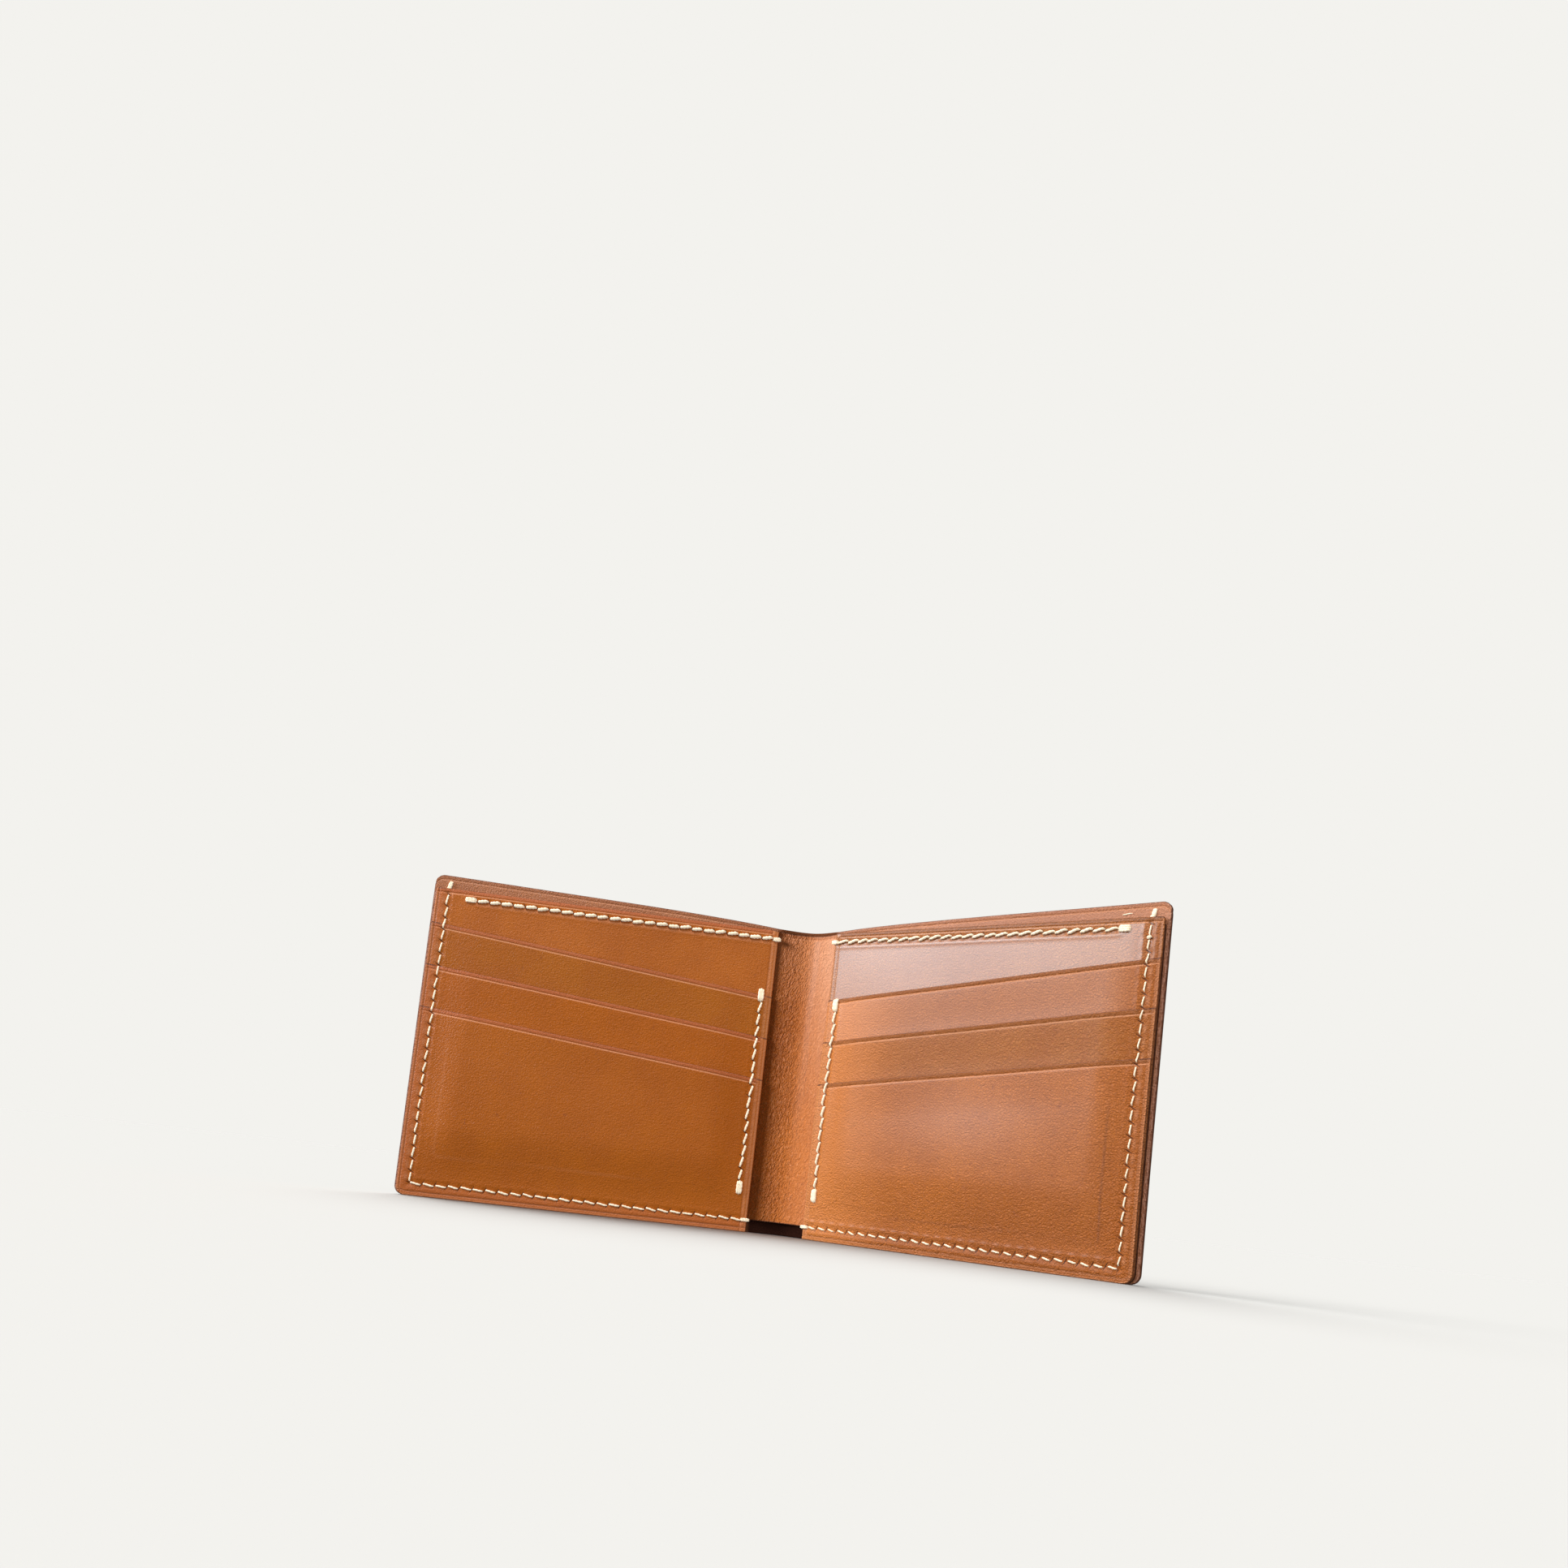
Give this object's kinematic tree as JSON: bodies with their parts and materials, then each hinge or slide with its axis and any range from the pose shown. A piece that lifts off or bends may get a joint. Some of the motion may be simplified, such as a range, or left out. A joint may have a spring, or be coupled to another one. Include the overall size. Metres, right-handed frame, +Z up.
{
  "type": "bifold wallet",
  "caption": "Bifold leather wallet with slanted card pockets on both inner panels, a full-length banknote pocket behind them and one flexing fold.",
  "frame": {"origin": "middle of the wallet's box on the surface that it stands on, with the wallet open as it stands", "axes": "+X towards the right-hand half as seen from the card pockets, -Y towards the side that the pockets face, +Z up along the fold"},
  "size_m": [0.1992, 0.045, 0.0899],
  "materials": {
    "cover_leather": "waxed bridle leather, satin, burnished edges",
    "lining_leather": "soft grained vegetable-tanned leather, low sheen",
    "panel_leather_left": "waxed bridle leather, glossy, tan",
    "panel_leather_right": "waxed bridle leather, satin bloom, tan",
    "waxed_thread": "waxed linen thread, cream"
  },
  "bodies": {
    "left_half": {"cover_left": "cover_leather", "cover_fold": "cover_leather", "lining_left": "lining_leather", "lining_fold": "lining_leather", "card_panel_left": "panel_leather_left", "upper_pocket_left": "panel_leather_left", "middle_pocket_left": "panel_leather_left", "front_pocket_left": "panel_leather_left", "edge_thread_left": "waxed_thread", "top_thread_left": "waxed_thread", "inner_thread_left": "waxed_thread", "upper_hem_thread_left": "waxed_thread", "middle_hem_thread_left": "waxed_thread"},
    "right_half": {"cover_right": "cover_leather", "lining_right": "lining_leather", "card_panel_right": "panel_leather_right", "upper_pocket_right": "panel_leather_right", "middle_pocket_right": "panel_leather_right", "front_pocket_right": "panel_leather_right", "edge_thread_right": "waxed_thread", "top_thread_right": "waxed_thread", "inner_thread_right": "waxed_thread", "upper_hem_thread_right": "waxed_thread", "middle_hem_thread_right": "waxed_thread"}
  },
  "joints": [
    {"name": "fold", "type": "hinge", "parent": "left_half", "child": "right_half", "pos_m": [0, 0.01646, 0.045], "axis": [0, 0, -1], "range_deg": [-44.4, 135.6], "deforming": ["cover_fold", "lining_fold"]}
  ]
}
